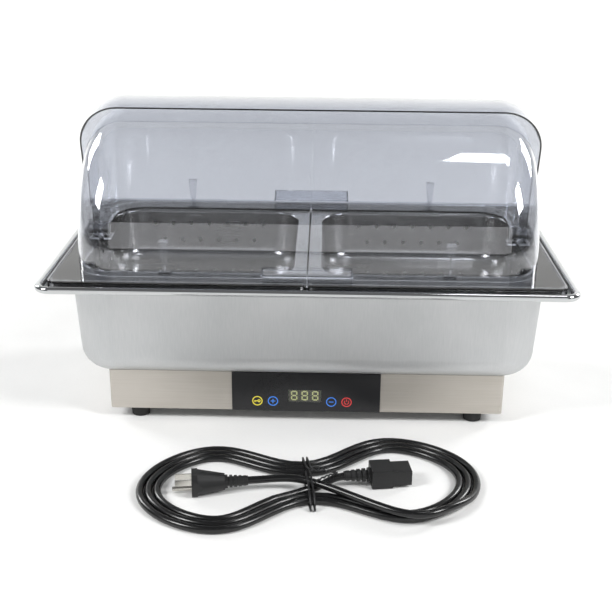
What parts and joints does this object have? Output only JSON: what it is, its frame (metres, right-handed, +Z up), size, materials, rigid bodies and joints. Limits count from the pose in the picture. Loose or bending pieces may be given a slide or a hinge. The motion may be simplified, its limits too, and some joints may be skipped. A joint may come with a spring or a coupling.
{
  "type": "electric buffet server",
  "caption": "Electric buffet server: heated water pan on a touch-control base, perforated lift-out food pans and a clear roll-top lid of nested covers, with its power lead.",
  "frame": {"origin": "on the table, under the middle of the server's own box, the power lead left out", "axes": "+Z up, +X to the right along the longest side, -Y toward the control panel at the front"},
  "size_m": [0.59, 0.5516, 0.3545],
  "materials": {
    "satin_steel": "satin brushed stainless sheet with a warm cast",
    "pressed_steel": "satin pressed stainless with a polished rolled rim",
    "plate_steel": "plain mill-finish steel",
    "polished_steel": "polished deep-drawn stainless",
    "clear_plastic": "clear moulded polycarbonate",
    "clear_cover": "clear glossy polycarbonate with a faint lilac-grey tint",
    "pin_steel": "turned stainless pin",
    "panel_black": "glossy black screen-printed panel",
    "display_lens": "smoked clear lens",
    "display_light": "pale yellow-green lit segments",
    "display_case": "dark olive grey reflector case",
    "yellow_print": "yellow screen print",
    "blue_print": "blue screen print",
    "red_print": "red screen print",
    "foot_rubber": "black moulded rubber",
    "zinc_steel": "bright zinc-plated steel",
    "heater_aluminium": "rolled aluminium sheet",
    "heat_shield_steel": "bright aluminised steel sheet",
    "element_sheath": "heat-darkened metal sheath",
    "board": "green solder-masked glass-fibre laminate",
    "spring_brass": "plated copper-alloy spring",
    "pin_brass": "nickel-plated brass",
    "black_moulding": "black moulded plastic",
    "relay_blue": "blue moulded case",
    "transformer_tape": "yellow polyester tape over a ferrite core",
    "terminal_green": "green moulded nylon",
    "mains_insulation": "brown wire insulation",
    "earth_insulation": "green-yellow wire insulation",
    "heater_insulation": "white braided glass sleeving",
    "cable_grey": "grey ribbon cable",
    "cord_black": "black flexible vinyl with a soft sheen",
    "tie_black": "black plastic-coated wire tie",
    "blade_steel": "nickel-plated blades"
  },
  "bodies": {
    "server": {"base_housing": "satin_steel", "base_plate": "plate_steel", "plate_screws": "zinc_steel", "foot_front_left": "foot_rubber", "foot_front_right": "foot_rubber", "foot_rear_left": "foot_rubber", "foot_rear_right": "foot_rubber", "foot_screws": "zinc_steel", "nuts": "zinc_steel", "pan_studs": "zinc_steel", "heater_plate": "heater_aluminium", "heating_element": "element_sheath", "clamp_bars": "zinc_steel", "clamp_screws": "zinc_steel", "heat_shield": "heat_shield_steel", "shield_pillars": "zinc_steel", "thermal_cutout": "black_moulding", "temperature_sensor": "zinc_steel", "control_panel": "panel_black", "display_window": "display_lens", "display_digits": "display_light", "display_module": "display_case", "key_lock": "yellow_print", "key_up": "blue_print", "key_down": "blue_print", "key_power": "red_print", "control_board": "board", "board_posts": "zinc_steel", "touch_springs": "spring_brass", "buzzer": "black_moulding", "power_board": "board", "supply_posts": "zinc_steel", "relay": "relay_blue", "transformer": "transformer_tape", "capacitor": "black_moulding", "terminal_block": "terminal_green", "inlet_socket": "black_moulding", "inlet_pins": "pin_brass", "inlet_screws": "zinc_steel", "mains_wires": "mains_insulation", "earth_wire": "earth_insulation", "heater_wires": "heater_insulation", "display_cable": "cable_grey", "water_pan": "pressed_steel", "food_pan_left": "polished_steel", "food_pan_right": "polished_steel", "lid_frame": "clear_plastic", "guide_posts": "clear_plastic", "pivot_brackets": "clear_plastic", "pivot_pins": "pin_steel", "cord_hank": "cord_black", "cord_tie": "tie_black", "plug_body": "cord_black", "plug_blades": "blade_steel", "connector_body": "cord_black"},
    "front_lid": {"front_cover": "clear_cover", "front_grip": "clear_cover"},
    "rear_lid": {"rear_cover": "clear_cover", "rear_grip": "clear_cover"}
  },
  "joints": [
    {"name": "front_lid_hinge", "type": "hinge", "parent": "server", "child": "front_lid", "pos_m": [0, 0, 0.195], "axis": [-1, 0, 0], "range_deg": [0, 90]},
    {"name": "rear_lid_hinge", "type": "hinge", "parent": "server", "child": "rear_lid", "pos_m": [0, 0, 0.195], "axis": [1, 0, 0], "range_deg": [0, 78]}
  ]
}
